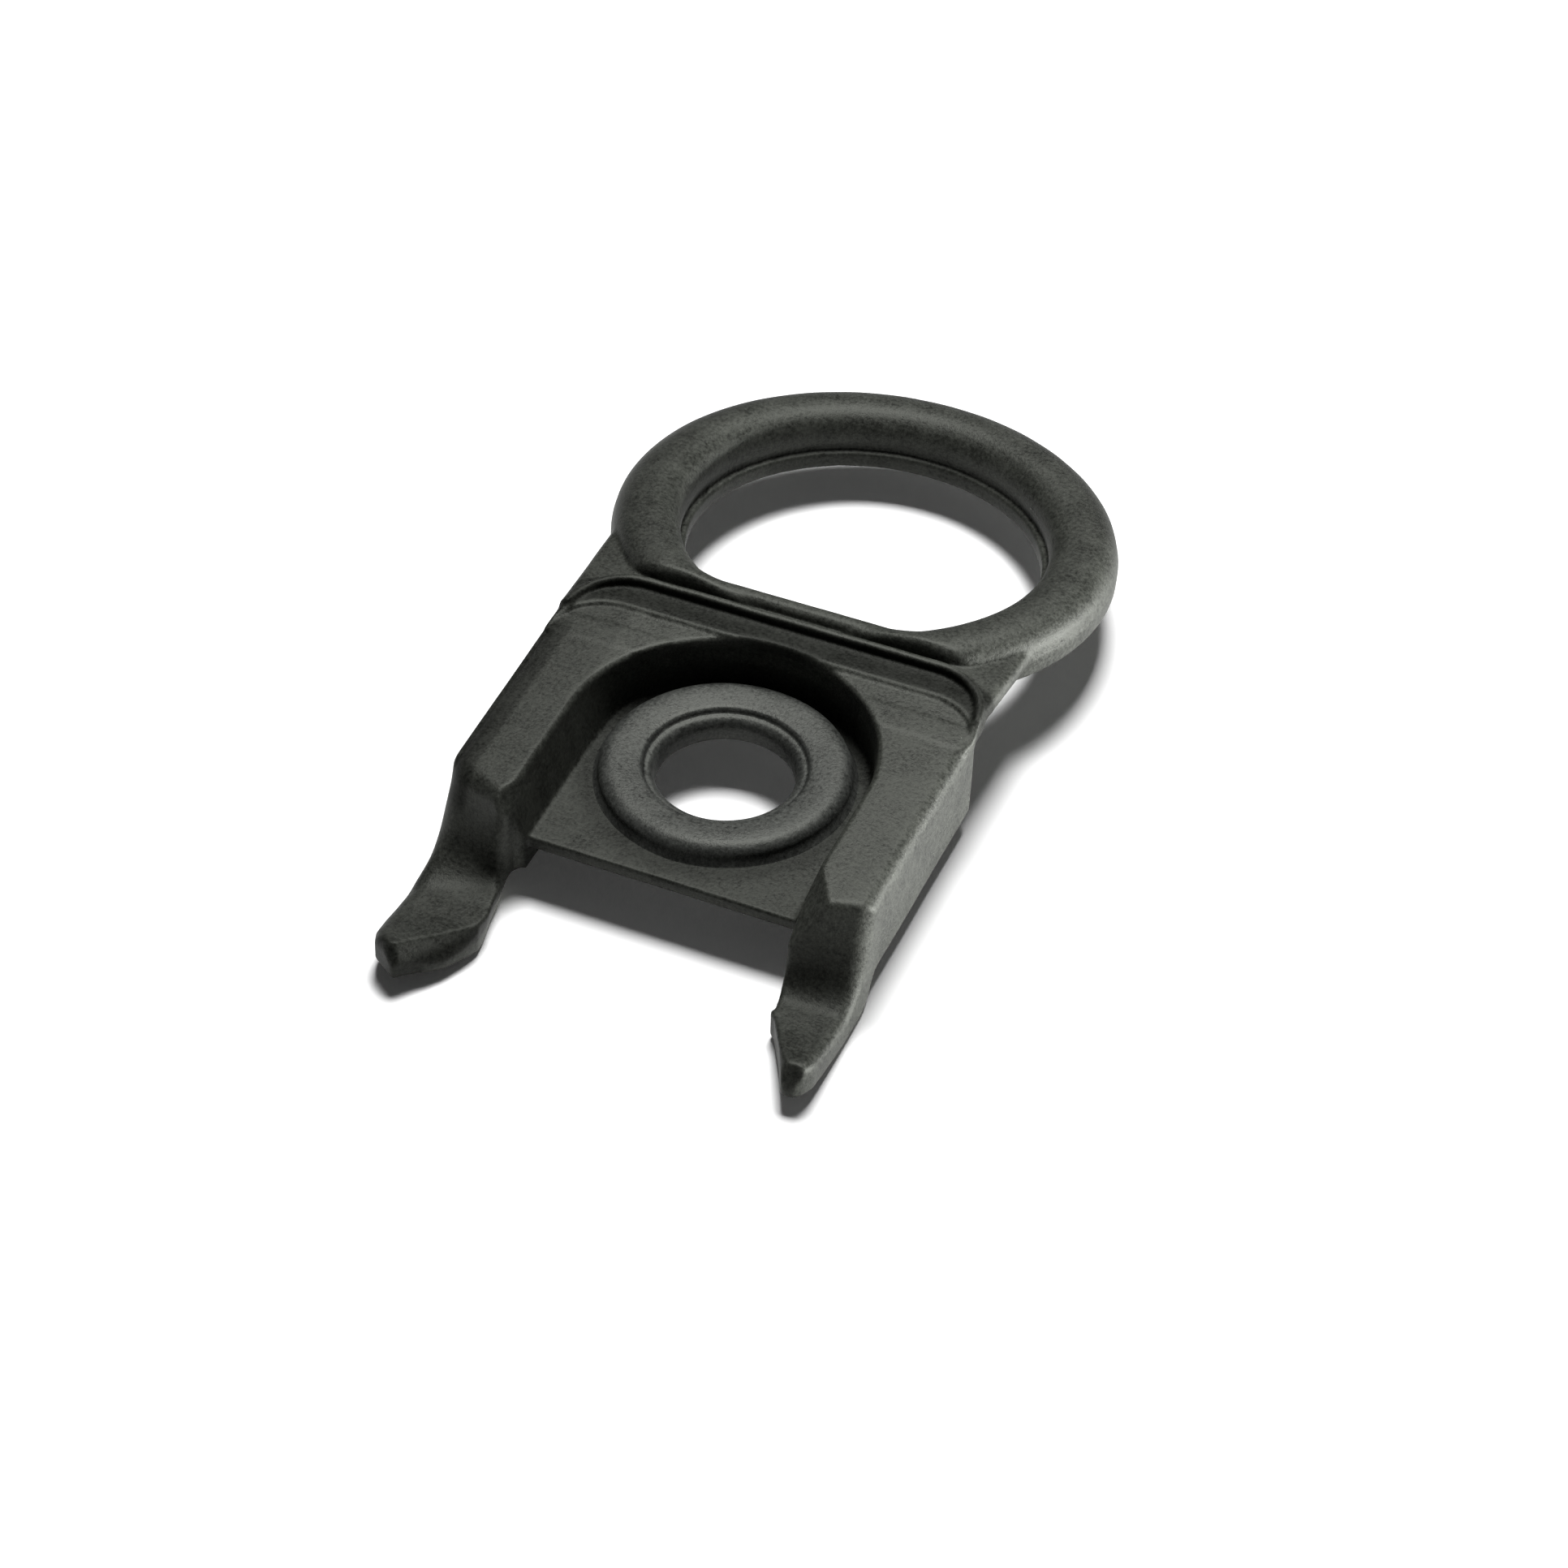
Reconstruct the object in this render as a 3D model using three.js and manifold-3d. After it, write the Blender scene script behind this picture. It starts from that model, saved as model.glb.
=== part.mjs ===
// Fence insulator clip: a D-shaped loop on a short neck, a plate with a screw boss in a pocket,
// and two snap legs. Millimetres. X is right, Y runs towards the loop, Z is up.
// The origin is on the axis of the screw hole, at the level of the plate's underside.
import * as THREE from 'three';
import { mergeVertices } from 'three/addons/utils/BufferGeometryUtils.js';
import Module from 'manifold-3d';

const wasm = await Module();
wasm.setup();

// Driving dimensions
const GAP = 0.3;              // clearance left between neighbouring members
const HALF_WIDTH = 17.4;      // half the width across the two rails
const DECK_TOP = 7.9;         // top of the rails
const DECK_BOTTOM = 6.2;      // underside of the neck and of the decks
const REAR_Y = 7.5;           // rear end of the side blocks
const POCKET_RADIUS = 11.5;   // pocket's half width and the radius of its rear wall
const POCKET_CENTRE_Y = -1;
const FLOOR_TOP = 3.5;        // the pocket's floor is a thin web at mid height
const FLOOR_BOTTOM = 2.45;
const FLOOR_FRONT_Y = -12.1;
const EDGE_ROUND = 0.8;       // rounding of the outer top edges

const HOLE_RADIUS = 5.3;
const LIP_OUTER_RADIUS = 6.7;
const BOSS_OUTER_RADIUS = 9.7;
const BOSS_TOP = 5;

const NECK_HALF_WIDTH = 17.25;
const NECK_TOP = 8.7;
const BEAD_Y = 12.1;          // middle of the straight run of the rim bead
const BEAD_TOP = 8.95;
const BEAD_WIDTH = 0.7;
const BEAD_CORNER = 4.4;      // radius of the bead's two corners
const BEAD_FRONT_Y = 6.4;     // where the bead's arms run out
const LEDGE_TOP = 8.1;
const LEDGE_FRONT_Y = 9.6;

const LOOP_RADIUS = 20;       // outer radius of the loop
const LOOP_CENTRE = new THREE.Vector3(0, 28.2, 5.52);
const LOOP_DROOP = 6.7;       // degrees that the loop's far side hangs below the plate
const LOOP_WIDTH = 5.5;       // radial width of the loop's section
const LOOP_HEIGHT = 4.8;
const BAR_INNER = -12.4;      // inner face of the loop's straight side, from the loop's centre
const BAR_OUTER = -13.8;
const STRIP_TOP = 7.3;        // top of the thin strip in the fold groove
const GROOVE_FRONT_Y = 13.25;
const GROOVE_HALF_LENGTH = 14.6;

const KNEE_Y = -12.4;         // where each leg starts to bend
const LEG_INNER_X = 12.1;
const LEG_SPLIT_Y = -17.2;    // end of the bent stretch
const TIP_SPLIT_Y = -19.4;    // start of the arrow-shaped tip
const KNEE_SKEW = 0.35;       // how much further back the bend lies at the outer edge
const BARB_STEP = 0.55;
const TIP_INNER = new THREE.Vector2(15.0, -26.3);
const TIP_OUTER = new THREE.Vector2(17.2, -24.9);
const TIP_BEVEL = [           // three points on the bevel that slopes down to the end of the tip
  new THREE.Vector3(11.6, -20.3, 1.1), new THREE.Vector3(17.3, -24.3, 2.0),
  new THREE.Vector3(15.0, -26.3, 0.7),
];

const ARC_STEPS = 40;
const REACH = 60;             // larger than the object: size of the cutting blocks

const rubber = (color, roughness = 0.72) =>
  new THREE.MeshStandardMaterial({ color, roughness, metalness: 0 });
const LOOP_COLOUR = 0x4a4c46;
const PLATE_COLOUR = 0x454741;
const BOSS_COLOUR = 0x55575a;
const LEG_COLOUR = 0x3c3d38;

// Solids

function toSolid(geometry) {
  const bare = geometry.index ? geometry.toNonIndexed() : geometry.clone();
  bare.deleteAttribute('normal');
  bare.deleteAttribute('uv');
  const merged = mergeVertices(bare, 1e-5);
  return new wasm.Manifold(new wasm.Mesh({
    numProp: 3,
    vertProperties: new Float32Array(merged.attributes.position.array),
    triVerts: new Uint32Array(merged.index.array),
  }));
}

function toGeometry(solid) {
  const mesh = solid.getMesh();
  const geometry = new THREE.BufferGeometry();
  geometry.setAttribute('position', new THREE.BufferAttribute(new Float32Array(mesh.vertProperties), 3));
  geometry.setIndex(new THREE.BufferAttribute(new Uint32Array(mesh.triVerts), 1));
  geometry.computeVertexNormals();
  return geometry;
}

function block(x0, x1, y0, y1, z0, z1) {
  const box = new THREE.BoxGeometry(x1 - x0, y1 - y0, z1 - z0);
  box.translate((x0 + x1) / 2, (y0 + y1) / 2, (z0 + z1) / 2);
  return toSolid(box);
}

// A plan outline raised from z0 to z1.
function slab(shape, z0, z1) {
  const geometry = new THREE.ExtrudeGeometry(shape, {
    depth: z1 - z0, bevelEnabled: false, curveSegments: ARC_STEPS,
  });
  geometry.translate(0, 0, z0);
  return toSolid(geometry);
}

// A side outline, given as Y and Z, carried along X from x0 to x1.
function prismAlongX(shape, x0, x1) {
  const geometry = new THREE.ExtrudeGeometry(shape, {
    depth: x1 - x0, bevelEnabled: false, curveSegments: 10,
  });
  geometry.applyMatrix4(new THREE.Matrix4().makeBasis(
    new THREE.Vector3(0, 1, 0), new THREE.Vector3(0, 0, 1), new THREE.Vector3(1, 0, 0)));
  geometry.translate(x0, 0, 0);
  return toSolid(geometry);
}

// A cross-section, given as X and Z, carried along Y from y0 to y1.
function prismAlongY(shape, y0, y1) {
  const geometry = new THREE.ExtrudeGeometry(shape, {
    depth: y1 - y0, bevelEnabled: false, curveSegments: 4,
  });
  geometry.applyMatrix4(new THREE.Matrix4().makeBasis(
    new THREE.Vector3(1, 0, 0), new THREE.Vector3(0, 0, 1), new THREE.Vector3(0, -1, 0)));
  geometry.translate(0, y1, 0);
  return toSolid(geometry);
}

function disc(radius, z0, z1) {
  const cylinder = new THREE.CylinderGeometry(radius, radius, z1 - z0, 2 * ARC_STEPS);
  cylinder.rotateX(Math.PI / 2);
  cylinder.translate(0, 0, (z0 + z1) / 2);
  return toSolid(cylinder);
}

// The rear of the pocket, grown by `grow`.
function pocketDisc(grow, z0, z1) {
  return disc(POCKET_RADIUS + grow, z0, z1).translate([0, POCKET_CENTRE_Y, 0]);
}

// A closed profile of radius and height turned about the Z axis.
function turned(profile, steps = 2 * ARC_STEPS) {
  const lathe = new THREE.LatheGeometry([...profile, profile[0]], steps);
  lathe.rotateX(Math.PI / 2);
  return toSolid(lathe);
}

function outline(points) {
  const shape = new THREE.Shape();
  shape.moveTo(...points[0]);
  points.slice(1).forEach(([x, y]) => shape.lineTo(x, y));
  shape.closePath();
  return shape;
}

const mirrored = (solid) => solid.mirror([1, 0, 0]);

// Loop

// The loop's section is a rounded oval; its lower inner corner is fuller than the rest.
function loopSection() {
  const middle = LOOP_RADIUS - LOOP_WIDTH / 2;
  const points = [];
  const steps = 16;
  for (let i = 0; i < steps; i += 1) {
    const angle = (i / steps) * 2 * Math.PI;
    const lowerInner = Math.cos(angle) < -0.01 && Math.sin(angle) < -0.01;
    const power = lowerInner ? 0.6 : 0.92;
    const along = Math.sign(Math.cos(angle)) * Math.abs(Math.cos(angle)) ** power;
    const up = Math.sign(Math.sin(angle)) * Math.abs(Math.sin(angle)) ** power;
    points.push(new THREE.Vector2(middle + along * LOOP_WIDTH / 2, up * LOOP_HEIGHT / 2));
  }
  return points;
}

// The loop's own frame: its middle plane is level and its centre is the origin.
function placeLoop(geometry) {
  geometry.rotateX(THREE.MathUtils.degToRad(-LOOP_DROOP));
  geometry.translate(LOOP_CENTRE.x, LOOP_CENTRE.y, LOOP_CENTRE.z);
  return geometry;
}

function makeLoopRing() {
  const ring = turned(loopSection());
  return placeLoop(toGeometry(ring.intersect(block(-REACH, REACH, BAR_INNER + GAP, REACH, -REACH, REACH))));
}

// The straight side: a rounded bar as long as the loop is wide there.
function makeLoopBar() {
  const middle = (BAR_INNER + BAR_OUTER) / 2;
  const half = (BAR_INNER - BAR_OUTER) / 2;
  const crown = LOOP_HEIGHT / 2 - 0.35;
  const foot = -LOOP_HEIGHT / 2 + 0.6;
  const section = outline([
    [middle - half, foot + 0.3], [middle - half + 0.3, foot], [middle + half - 0.3, foot],
    [middle + half, foot + 0.3], [middle + half, crown - 0.5], [middle + half - 0.3, crown - 0.1],
    [middle, crown], [middle - half + 0.3, crown - 0.1], [middle - half, crown - 0.5],
  ]);
  const bar = prismAlongX(section, -LOOP_RADIUS, LOOP_RADIUS);
  const ends = disc(LOOP_RADIUS - 0.4, -LOOP_HEIGHT, LOOP_HEIGHT);
  return placeLoop(toGeometry(bar.intersect(ends)));
}

// Neck and head

// The room that the loop takes up, with clearance, at any height.
function loopRoom(clearance) {
  const front = LOOP_CENTRE.y + BAR_OUTER - 2 * clearance;
  return disc(LOOP_RADIUS + clearance, -REACH, REACH).translate([LOOP_CENTRE.x, LOOP_CENTRE.y, 0])
    .intersect(block(-REACH, REACH, front, REACH, -REACH, REACH));
}

// Two shoulders either side of the groove, joined by the band behind the bead.
function makeNeckWeb() {
  const front = BEAD_Y + BEAD_WIDTH / 2 + GAP;
  const side = outline([
    [BEAD_FRONT_Y + 1, DECK_BOTTOM], [18.4, 4.7], [18.4, 6.6], [14, 8], [GROOVE_FRONT_Y, NECK_TOP],
    [BEAD_FRONT_Y + 1, NECK_TOP],
  ]);
  const plate = prismAlongX(side, -NECK_HALF_WIDTH, NECK_HALF_WIDTH);
  const half = GROOVE_HALF_LENGTH;
  const grooveRoom = block(-half, half, GROOVE_FRONT_Y, REACH, -REACH, REACH);
  return toGeometry(plate
    .subtract(slab(beadOutline(BEAD_WIDTH / 2 + GAP), -REACH, REACH))
    .subtract(block(-13, 13, -REACH, front, -REACH, REACH))
    .subtract(grooveRoom)
    .subtract(loopRoom(GAP)));
}

// The thin strip under the fold groove that joins the neck to the loop's straight side.
function makeGrooveStrip() {
  const half = GROOVE_HALF_LENGTH - GAP;
  const front = GROOVE_FRONT_Y + GAP;
  return toGeometry(block(-half, half, front, front + 0.4, DECK_BOTTOM, STRIP_TOP));
}

// The region inside the bead's centre line, grown by `grow`.
function beadOutline(grow) {
  const half = NECK_HALF_WIDTH - BEAD_WIDTH / 2 + grow;
  const top = BEAD_Y + grow;
  const corner = BEAD_CORNER + grow;
  const shape = new THREE.Shape();
  shape.moveTo(half, BEAD_FRONT_Y - 20);
  shape.lineTo(half, top - corner);
  shape.absarc(half - corner, top - corner, corner, 0, Math.PI / 2, false);
  shape.lineTo(-half + corner, top);
  shape.absarc(-half + corner, top - corner, corner, Math.PI / 2, Math.PI, false);
  shape.lineTo(-half, BEAD_FRONT_Y - 20);
  shape.closePath();
  return shape;
}

function makeRimBead() {
  const outer = slab(beadOutline(BEAD_WIDTH / 2), DECK_BOTTOM, BEAD_TOP);
  const inner = slab(beadOutline(-BEAD_WIDTH / 2), -REACH, REACH);
  const ahead = block(-REACH, REACH, -REACH, BEAD_FRONT_Y, -REACH, REACH);
  return toGeometry(outer.subtract(inner).subtract(ahead));
}

function makeHeadLedge() {
  const inside = slab(beadOutline(-BEAD_WIDTH / 2 - GAP), DECK_BOTTOM, LEDGE_TOP);
  const ahead = block(-REACH, REACH, -REACH, LEDGE_FRONT_Y, -REACH, REACH);
  return toGeometry(inside.subtract(ahead).subtract(pocketDisc(0, -REACH, REACH)));
}

// The curved wall behind the pocket, from the underside of its floor up to the deck.
function makePocketWall() {
  const wall = pocketDisc(2, FLOOR_BOTTOM, DECK_BOTTOM - GAP).subtract(pocketDisc(0, -REACH, REACH));
  return toGeometry(wall.intersect(block(-REACH, REACH, REAR_Y + GAP, REACH, -REACH, REACH)));
}

// The plan of the right rail: straight outer edge, inner edge along the pocket.
function railPlan(rearY, frontY) {
  return block(0, HALF_WIDTH, frontY, rearY, -REACH, REACH)
    .subtract(pocketDisc(0, -REACH, REACH))
    .subtract(block(-1, POCKET_RADIUS, -REACH, POCKET_CENTRE_Y, -REACH, REACH));
}

function makeDeck() {
  const section = new THREE.Shape();
  section.moveTo(0, DECK_BOTTOM);
  section.lineTo(HALF_WIDTH, DECK_BOTTOM);
  section.lineTo(HALF_WIDTH, DECK_TOP - EDGE_ROUND);
  section.absarc(HALF_WIDTH - EDGE_ROUND, DECK_TOP - EDGE_ROUND, EDGE_ROUND, 0, Math.PI / 2, false);
  section.lineTo(0, DECK_TOP);
  section.closePath();
  const bar = prismAlongY(section, KNEE_Y + GAP, LEDGE_FRONT_Y - GAP);
  const beadRoom = slab(beadOutline(BEAD_WIDTH / 2 + GAP), -REACH, REACH)
    .subtract(slab(beadOutline(-BEAD_WIDTH / 2 - GAP), -REACH, REACH))
    .intersect(block(-REACH, REACH, BEAD_FRONT_Y - GAP, REACH, -REACH, REACH));
  const neckRoom = block(0, REACH, BEAD_FRONT_Y - GAP, REACH, -REACH, REACH)
    .subtract(slab(beadOutline(0), -REACH, REACH));
  return bar.intersect(railPlan(REACH, -REACH)).subtract(beadRoom).subtract(neckRoom);
}

function makeSideBlock() {
  const height = DECK_BOTTOM - GAP;
  return railPlan(REAR_Y, KNEE_Y + GAP).intersect(block(0, REACH, -REACH, REACH, 0, height));
}

// Pocket floor and screw boss

function makePocketFloor() {
  const width = POCKET_RADIUS - GAP;
  const rear = pocketDisc(-GAP, FLOOR_BOTTOM, FLOOR_TOP);
  const front = block(-width, width, FLOOR_FRONT_Y, POCKET_CENTRE_Y, FLOOR_BOTTOM, FLOOR_TOP);
  const ahead = block(-REACH, REACH, -REACH, FLOOR_FRONT_Y, -REACH, REACH);
  const hole = disc(BOSS_OUTER_RADIUS + GAP, -REACH, REACH);
  return toGeometry(rear.add(front).subtract(ahead).subtract(hole));
}

const polar = (points) => points.map(([radius, height]) => new THREE.Vector2(radius, height));

function makeScrewBoss() {
  const r = BOSS_OUTER_RADIUS;
  const inner = LIP_OUTER_RADIUS + GAP;
  return toGeometry(turned(polar([
    [inner, FLOOR_BOTTOM], [r, FLOOR_BOTTOM], [r, FLOOR_TOP + 0.2], [r - 0.2, FLOOR_TOP + 0.8],
    [r - 0.6, BOSS_TOP - 0.3], [r - 1.2, BOSS_TOP], [inner + 0.4, BOSS_TOP], [inner, BOSS_TOP - 0.3],
  ])));
}

function makeBossLip() {
  const r = HOLE_RADIUS;
  return toGeometry(turned(polar([
    [LIP_OUTER_RADIUS, FLOOR_BOTTOM], [LIP_OUTER_RADIUS, BOSS_TOP - 0.55],
    [LIP_OUTER_RADIUS - 0.35, BOSS_TOP - 0.4], [r + 0.6, BOSS_TOP - 0.5], [r + 0.2, BOSS_TOP - 0.95],
    [r, FLOOR_TOP + 0.1], [r + 0.1, FLOOR_TOP - 0.2], [LIP_OUTER_RADIUS - 0.4, FLOOR_BOTTOM],
  ])));
}

// Legs

// Side outline of a leg: down from the deck in an S, then rising gently to the tip.
function legSide() {
  const shape = new THREE.Shape();
  shape.moveTo(KNEE_Y + 6, DECK_TOP);
  shape.lineTo(KNEE_Y - 0.2, DECK_TOP);
  shape.splineThru([
    new THREE.Vector2(-13.5, 7.3), new THREE.Vector2(-14.6, 4.6), new THREE.Vector2(-15.6, 2.2),
    new THREE.Vector2(-17.2, 1.05), new THREE.Vector2(-19.2, 0.95), new THREE.Vector2(-22.5, 1.6),
    new THREE.Vector2(-27.5, 2.6),
  ]);
  shape.lineTo(-27.5, 0.1);
  shape.splineThru([
    new THREE.Vector2(-23.5, -0.6), new THREE.Vector2(-19, -1.25), new THREE.Vector2(-15.5, -1.5),
    new THREE.Vector2(-13, -0.9), new THREE.Vector2(-11, -0.1), new THREE.Vector2(KNEE_Y + 6, 0),
  ]);
  shape.closePath();
  return shape;
}

function legPlan() {
  const barbX = LEG_INNER_X - BARB_STEP;
  return outline([
    [POCKET_RADIUS, KNEE_Y + 6], [POCKET_RADIUS, KNEE_Y - 1.2], [LEG_INNER_X, LEG_SPLIT_Y],
    [LEG_INNER_X, TIP_SPLIT_Y - 0.3], [barbX, TIP_SPLIT_Y - 0.8], [TIP_INNER.x, TIP_INNER.y],
    [TIP_OUTER.x - 0.9, TIP_OUTER.y - 0.9], [TIP_OUTER.x, TIP_OUTER.y],
    [HALF_WIDTH + 0.1, -22], [HALF_WIDTH, LEG_SPLIT_Y], [HALF_WIDTH, KNEE_Y + 6],
  ]);
}

// What is left of a solid below the plane through three points.
function belowPlane(solid, a, b, c) {
  const plane = new THREE.Plane().setFromCoplanarPoints(a, b, c);
  if (plane.normal.z > 0) plane.negate();
  return solid.trimByPlane(plane.normal.toArray(), -plane.constant);
}

// The whole right leg, before it is divided into bend, shank and tip.
function makeWholeLeg() {
  const skew = new THREE.Matrix4().set(
    1, 0, 0, 0,
    KNEE_SKEW, 1, 0, -KNEE_SKEW * (POCKET_RADIUS + HALF_WIDTH) / 2,
    0, 0, 1, 0,
    0, 0, 0, 1);
  const side = toGeometry(prismAlongX(legSide(), POCKET_RADIUS - 2, HALF_WIDTH + 2));
  side.applyMatrix4(skew);
  return toSolid(side).intersect(slab(legPlan(), -REACH, REACH));
}

function legStretch(leg, yFront, yRear) {
  return leg.intersect(block(-REACH, REACH, yFront, yRear, -REACH, REACH));
}

// Assembly

const part = new THREE.Group();

function addNode(name, geometry, material) {
  const mesh = new THREE.Mesh(geometry, material);
  mesh.name = name;
  part.add(mesh);
}

function addPair(name, rightSolid, material) {
  addNode(`right_${name}`, toGeometry(rightSolid), material);
  addNode(`left_${name}`, toGeometry(mirrored(rightSolid)), material);
}

addNode('loop_ring', makeLoopRing(), rubber(LOOP_COLOUR));
addNode('loop_bar', makeLoopBar(), rubber(LOOP_COLOUR));
addNode('groove_strip', makeGrooveStrip(), rubber(PLATE_COLOUR));
addNode('neck_web', makeNeckWeb(), rubber(PLATE_COLOUR));
addNode('rim_bead', makeRimBead(), rubber(PLATE_COLOUR));
addNode('head_ledge', makeHeadLedge(), rubber(PLATE_COLOUR));
addNode('pocket_wall', makePocketWall(), rubber(PLATE_COLOUR));
addNode('pocket_floor', makePocketFloor(), rubber(PLATE_COLOUR));
addNode('screw_boss', makeScrewBoss(), rubber(BOSS_COLOUR, 0.65));
addNode('boss_lip', makeBossLip(), rubber(BOSS_COLOUR, 0.6));
addPair('rail_deck', makeDeck(), rubber(PLATE_COLOUR));
addPair('side_block', makeSideBlock(), rubber(PLATE_COLOUR));

const wholeLeg = makeWholeLeg();
addPair('leg_bend', legStretch(wholeLeg, LEG_SPLIT_Y, KNEE_Y), rubber(LEG_COLOUR));
addPair('leg_shank', legStretch(wholeLeg, TIP_SPLIT_Y + GAP, LEG_SPLIT_Y - GAP), rubber(LEG_COLOUR));
const wholeTip = legStretch(wholeLeg, -REACH, TIP_SPLIT_Y);
addPair('leg_tip', belowPlane(wholeTip, ...TIP_BEVEL), rubber(LEG_COLOUR));

export default part;
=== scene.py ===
"""Looks of the fence insulator clip: one matt black moulding, cut into pieces; the plate's pieces follow the
plate body.
"""

import bmesh
import bpy
import numpy as np
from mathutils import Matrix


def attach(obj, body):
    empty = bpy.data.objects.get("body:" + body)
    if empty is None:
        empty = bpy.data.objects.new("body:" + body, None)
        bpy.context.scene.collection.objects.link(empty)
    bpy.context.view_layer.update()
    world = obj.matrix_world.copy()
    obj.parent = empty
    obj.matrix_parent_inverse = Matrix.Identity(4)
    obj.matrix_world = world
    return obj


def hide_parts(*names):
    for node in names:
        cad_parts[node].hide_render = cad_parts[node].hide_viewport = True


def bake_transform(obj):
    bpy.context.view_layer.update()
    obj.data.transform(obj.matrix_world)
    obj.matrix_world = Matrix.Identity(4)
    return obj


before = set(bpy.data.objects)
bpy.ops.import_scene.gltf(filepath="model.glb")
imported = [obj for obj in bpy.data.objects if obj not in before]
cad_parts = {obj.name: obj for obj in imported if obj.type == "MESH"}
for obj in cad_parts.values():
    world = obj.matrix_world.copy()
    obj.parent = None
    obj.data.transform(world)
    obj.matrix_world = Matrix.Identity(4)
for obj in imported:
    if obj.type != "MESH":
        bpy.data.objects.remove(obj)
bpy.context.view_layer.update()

import openvdb
from mathutils import Matrix, Vector

MM = 0.001

# ---------------------------------------------------------------- driving sizes, in millimetres
CELL = 0.18                      # spacing of the grid that the moulding is shaped on
GRID_LOW = (-21.4, -28.2, -3.0)
GRID_HIGH = (21.4, 50.0, 11.2)
OPEN_FRONT = -40                 # front of the outlines that run on past the object
WELL_INSIDE = -5                 # a distance that leaves the rest of a shape as it is

HALF_WIDTH = 17.45
DECK_TOP = 8.18
DECK_BOTTOM = 6.4
THIN_DECK_FRONT_Y = 5.5
THIN_DECK_LEFT = 0.12            # the thin deck reaches further left by twice this
CROWN_DROP = 0.22                # how far the rails' tops fall away over the crown's width
CROWN_START_X = 12.5
CROWN_WIDTH = 4.9
CROWN_FADE_Y = (7.0, 11.0)
BLOCK_REAR_Y = 7.9
BLOCK_CORNER_CUT = 0.45
BLOCK_EDGE_LEFT, BLOCK_EDGE_RIGHT = 1.6, 1.2  # roundings of the outer top edges

POCKET_RADIUS = 11.0             # at the floor; the side walls lean outwards above it
POCKET_CENTRE_Y = -1.6
POCKET_LEAN = 0.24
POCKET_LEAN_LIMIT = 1.15
POCKET_REAR_EXTRA = 1.1          # the upright rear wall stands this much further out
POCKET_REAR_BLEND_Y = (-1.0, 6.0)
POCKET_OPEN_Y = -14.6            # the pocket is cut forward to here, into the legs' bends
REAR_WALL_THICKNESS = 1.9
REAR_WALL_TOP = 7.4
REAR_WALL_FRONT_Y = 5.0
FLOOR_TOP = 3.5
FLOOR_BOTTOM = 2.45
FLOOR_FRONT_Y = -12.2            # at the left wall
FLOOR_FRONT_SKEW = 0.012
FLOOR_HOLE_RADIUS = 9.4          # hidden under the boss

LEDGE_HALF_WIDTH = 17.5
LEDGE_LINE_Y = 9.95
LEDGE_CORNER = 4.6
LEDGE_STEP = 0.27
LEDGE_STEP_SPAN = (-0.12, 0.16)  # where the deck rises, as distance behind the ledge's line
LEDGE_DIP = 0.25
LEDGE_DIP_SPAN = (0.3, 2.4)
BEAD_Y = 13.1
BEAD_HALF_WIDTH = 17.0
BEAD_HALF_THICKNESS = 0.36
BEAD_CORNER = 4.9
BEAD_TOP = 8.98
BEAD_BOTTOM = 7.2
BEAD_SLOPE = 0.05                # the bead's arms sink slowly towards the front
BEAD_SLOPE_START_Y = 12.5
BEAD_RUN_OUT = 1.1               # and then run out into the deck
BEAD_RUN_OUT_Y = (6.0, 9.0)
BEAD_END_Y = 5.6

LOOP_CENTRE = (0.0, 28.2, 5.52)
LOOP_TILT = np.radians(-6.7)
LOOP_RADIUS = 20
LOOP_MIDDLE = 17.4               # radius of the loop's section centre
LOOP_HALF_WIDTH = 2.6
LOOP_HALF_HEIGHT = 2.4
LOOP_STRETCH = 0.2               # the section is this much wider at the loop's two sides
SECTION_POWER = 2.25             # 2 makes an ellipse, more makes it squarer
INNER_WALL_RADIUS = 14.85
INNER_WALL_HEIGHTS = (-1.6, 0.1)
INNER_FOOT_RADIUS = 14.4
INNER_FOOT_HEIGHTS = (-2.38, -1.0)
OUTER_FOOT_RADIUS = 20.05
OUTER_FOOT_HEIGHTS = (-1.5, 0.5)
BAR_FRONT = -14.3                # the loop's straight side, from the loop's centre
BAR_BACK = -12.7
BAR_BOTTOM = -2.2
BAR_TOP = 1.85
BAR_END_RADIUS = 19.2
EYE_RADIUS = 16.0                # the neck stops inside this circle behind the bar

WEB_MIDDLE = 0.25                # height of the neck's middle above the loop's middle plane
WEB_HALF_THICKNESS = 0.8
WEB_FRONT_Y = 8.2
WEB_REAR_Y = 19.5
WEB_FLARE = 0.035                # the neck widens towards the loop
WEB_FLARE_START_Y = 9
WEB_EXTRA_LEFT, WEB_EXTRA_RIGHT = 0.2, -0.12

LOOP_SEAM_Y = 13.75              # in the groove across the neck
LEG_SEAM_Y = -11.2
LEG_WALL_X = 10.9                # the pocket floor's front strip stays with the plate

# Side outline of the legs: Y and height, along the top of the free length and along the bottom.
LEG_TOP_LINE = (
    (-30.0, 3.2), (-26.0, 2.6), (-24.6, 2.25), (-22.6, 1.7), (-20.5, 1.25), (-18.0, 1.0), (14.0, 1.0),
)
BOTTOM_LINE = (
    (-30.0, 0.0), (-26.0, -0.25), (-24.4, -0.55), (-23.2, -0.75), (-19.9, -1.25), (-18.0, -1.45),
    (-15.8, -1.45), (-14.8, -1.4), (-13.6, -1.0), (-12.6, -0.3), (-11.8, 0.1), (-10.5, 0.15),
    (-9.0, 0.1), (14.0, 0.1),
)
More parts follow.
